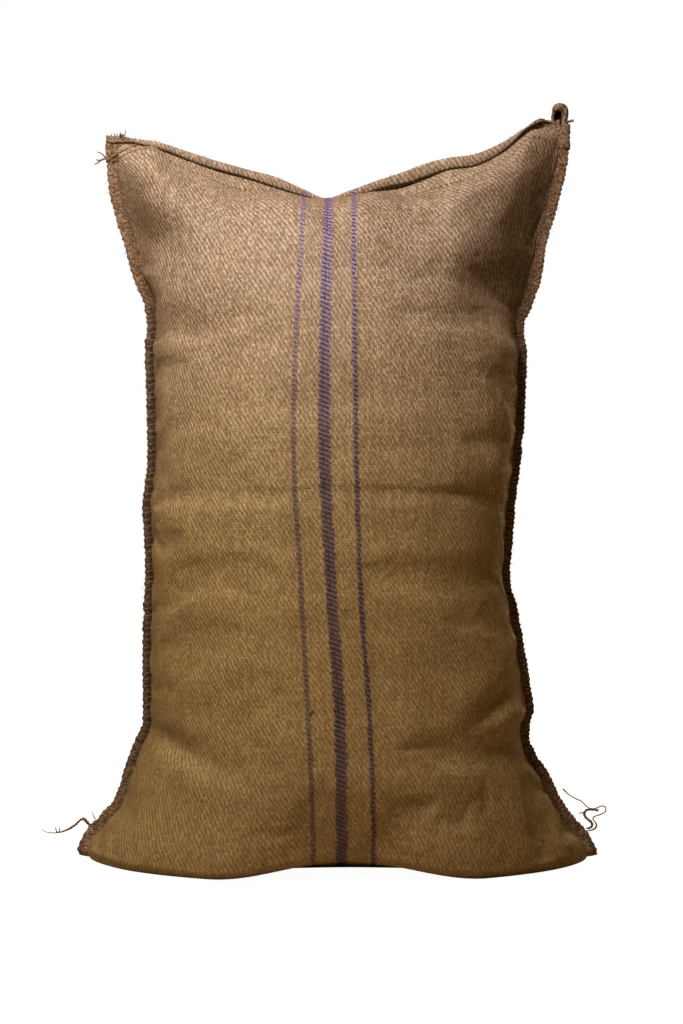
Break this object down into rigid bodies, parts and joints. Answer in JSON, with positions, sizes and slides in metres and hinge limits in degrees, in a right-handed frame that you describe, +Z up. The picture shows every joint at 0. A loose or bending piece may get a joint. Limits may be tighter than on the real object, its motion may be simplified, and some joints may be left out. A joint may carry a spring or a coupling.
{
  "type": "filled hessian sack",
  "caption": "Filled jute twill sack standing on its folded base, side edges overcast with twine, hemmed mouth pressed shut between raised corners, woven warp stripes down the middle.",
  "frame": {"origin": "on the floor, under the middle of the sack's bounding box", "axes": "+Z up, +X to the right of someone facing the front panel, -Y towards that person"},
  "size_m": [0.7222, 0.3912, 0.9595],
  "materials": {
    "hessian": "matt undyed jute in a coarse slanting twill, with purple warp stripes down the middle",
    "twine": "matt reddish brown jute sewing twine, a little hairy"
  },
  "bodies": {
    "root": {"sack_body": "hessian", "hem_tip": "hessian", "seam_left": "twine", "seam_right": "twine", "twine_end_left": "twine", "twine_end_right": "twine", "yarn_end_right": "twine"}
  },
  "joints": []
}
